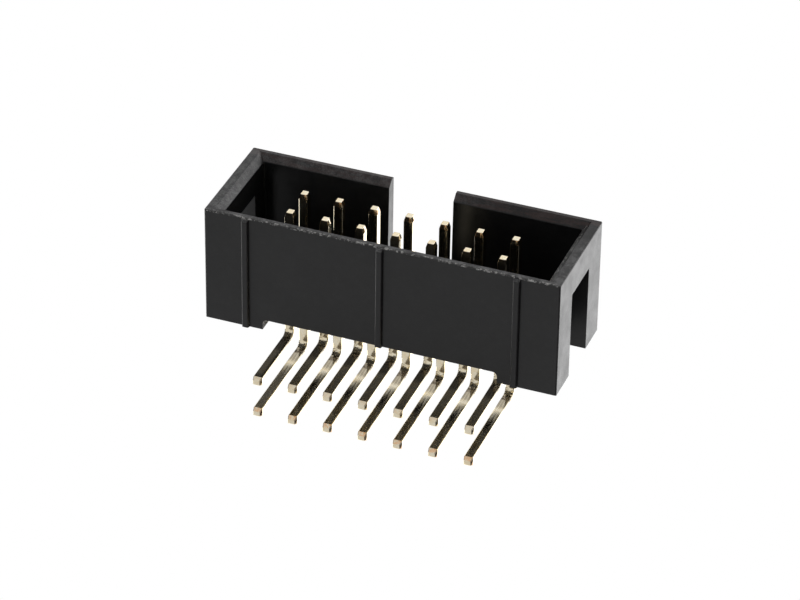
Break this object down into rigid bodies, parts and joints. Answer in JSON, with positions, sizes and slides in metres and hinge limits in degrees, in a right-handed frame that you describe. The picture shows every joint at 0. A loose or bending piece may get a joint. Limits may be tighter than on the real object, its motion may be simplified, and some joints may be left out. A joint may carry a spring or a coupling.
{
  "type": "right-angle shrouded box header",
  "caption": "Right-angle shrouded box header for flat ribbon cable: keyed black socket housing with two rows of square gold contacts bent towards the circuit board.",
  "frame": {"origin": "middle of the base of the whole part's box, under the long row's solder tails", "axes": "+Z leaves the plug mouth, -Y faces the circuit board (the ribbed wall and the solder tails), X runs along the rows, +Y is the wall with the key slot"},
  "size_m": [0.0252, 0.0118, 0.0137],
  "materials": {
    "moulded_plastic": "black glass-filled thermoplastic, fine matt mould texture",
    "gold_plating": "smooth gold flash over a copper-alloy wire"
  },
  "bodies": {
    "root": {"housing": "moulded_plastic", "short_contact_1": "gold_plating", "short_contact_2": "gold_plating", "short_contact_3": "gold_plating", "short_contact_4": "gold_plating", "short_contact_5": "gold_plating", "short_contact_6": "gold_plating", "short_contact_7": "gold_plating", "long_contact_1": "gold_plating", "long_contact_2": "gold_plating", "long_contact_3": "gold_plating", "long_contact_4": "gold_plating", "long_contact_5": "gold_plating", "long_contact_6": "gold_plating", "long_contact_7": "gold_plating"}
  },
  "joints": []
}
